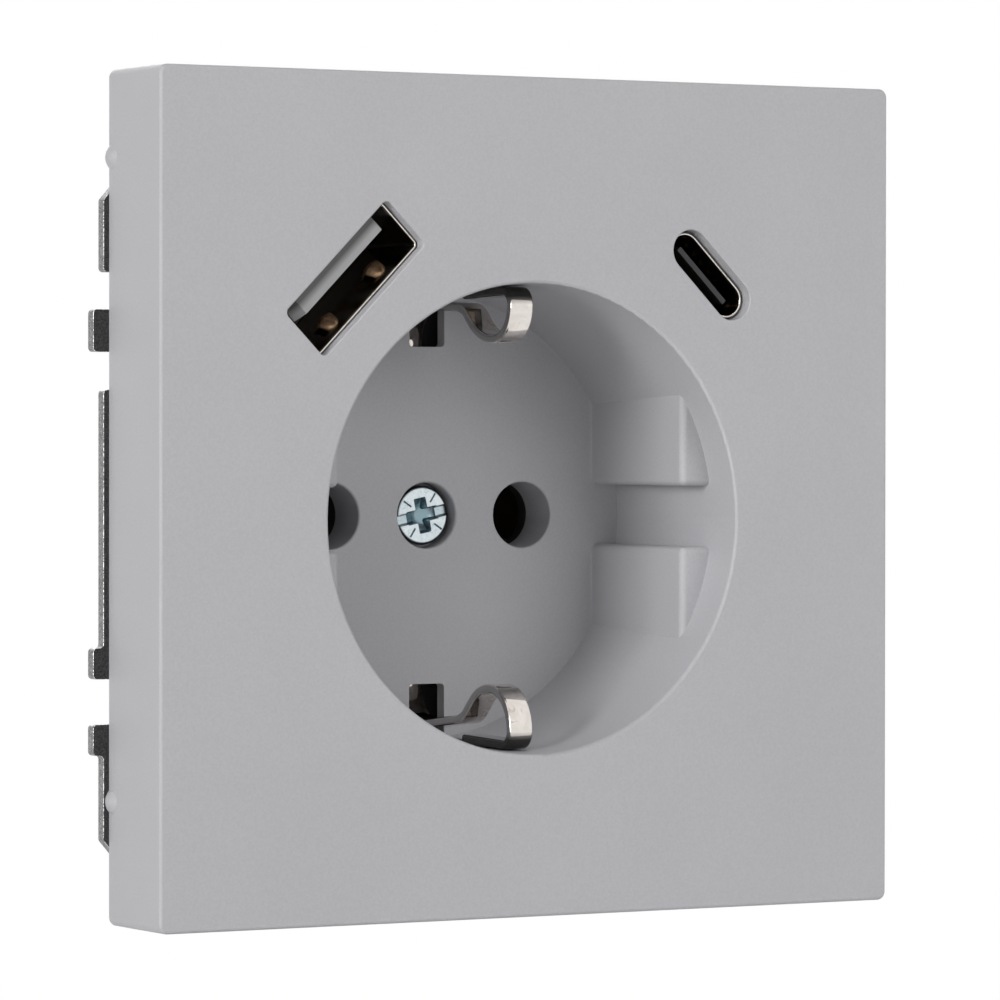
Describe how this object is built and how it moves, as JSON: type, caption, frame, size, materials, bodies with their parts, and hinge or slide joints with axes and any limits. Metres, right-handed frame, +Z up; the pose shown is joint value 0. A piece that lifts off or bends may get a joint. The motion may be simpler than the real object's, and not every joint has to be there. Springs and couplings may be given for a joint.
{
  "type": "usb wall socket",
  "caption": "Square flush wall socket with a round earthed plug recess, side earth clips, a USB-A port and a USB-C port, and a rear block with push-in wire terminals.",
  "frame": {"origin": "centre of the box screw circle, on the rear face of the support frame, which lies on the wall", "axes": "+X to the right and +Z up as seen from the room, +Y into the wall"},
  "size_m": [0.0728, 0.0425, 0.0704],
  "materials": {
    "cover_grey": "fine satin moulding",
    "zinc": "zinc plated, slightly blue",
    "nickel": "nickel plated",
    "galvanised": "galvanised sheet with cut edges",
    "base_plastic": "moulded thermoset, black",
    "bronze": "spring bronze",
    "spring_steel": "rolled strip",
    "lever_plastic": "moulded orange",
    "board": "green solder mask",
    "light_insulator": "moulded light grey",
    "dark_insulator": "moulded black",
    "ferrite": "sintered dark grey",
    "winding": "yellow tape",
    "capacitor": "shrink sleeve"
  },
  "bodies": {
    "socket": {"front_cover": "cover_grey", "centre_screw": "zinc", "screw_nut": "zinc", "earth_bow": "nickel", "support_frame": "galvanised", "frame_rivets": "nickel", "socket_base": "base_plastic", "rear_cover": "base_plastic", "rear_screws": "zinc", "contact_left": "bronze", "contact_right": "bronze", "earth_terminal": "bronze", "live_clamp_spring": "spring_steel", "earth_clamp_spring": "spring_steel", "neutral_clamp_spring": "spring_steel", "usb_board": "board", "power_board": "board", "usb_a_shell": "nickel", "usb_a_insulator": "dark_insulator", "usb_a_tongue": "light_insulator", "usb_a_springs": "bronze", "usb_a_contacts": "bronze", "usb_c_shell": "nickel", "usb_c_tongue": "dark_insulator", "usb_c_contacts": "bronze", "transformer_core": "ferrite", "transformer_winding": "winding", "input_capacitor": "capacitor", "output_capacitor": "capacitor", "control_chip": "dark_insulator", "board_link_pins": "bronze"},
    "live_lever": {"live_release_lever": "lever_plastic"},
    "earth_lever": {"earth_release_lever": "lever_plastic"},
    "neutral_lever": {"neutral_release_lever": "lever_plastic"}
  },
  "joints": [
    {"name": "live_lever_push", "type": "slide", "parent": "socket", "child": "live_lever", "axis": [0, -1, 0], "range_m": [0, 0.0016], "stiffness_N_per_m": 1500, "deforming": ["live_clamp_spring"]},
    {"name": "earth_lever_push", "type": "slide", "parent": "socket", "child": "earth_lever", "axis": [0, -1, 0], "range_m": [0, 0.0016], "stiffness_N_per_m": 1500, "deforming": ["earth_clamp_spring"]},
    {"name": "neutral_lever_push", "type": "slide", "parent": "socket", "child": "neutral_lever", "axis": [0, -1, 0], "range_m": [0, 0.0016], "stiffness_N_per_m": 1500, "deforming": ["neutral_clamp_spring"]}
  ]
}
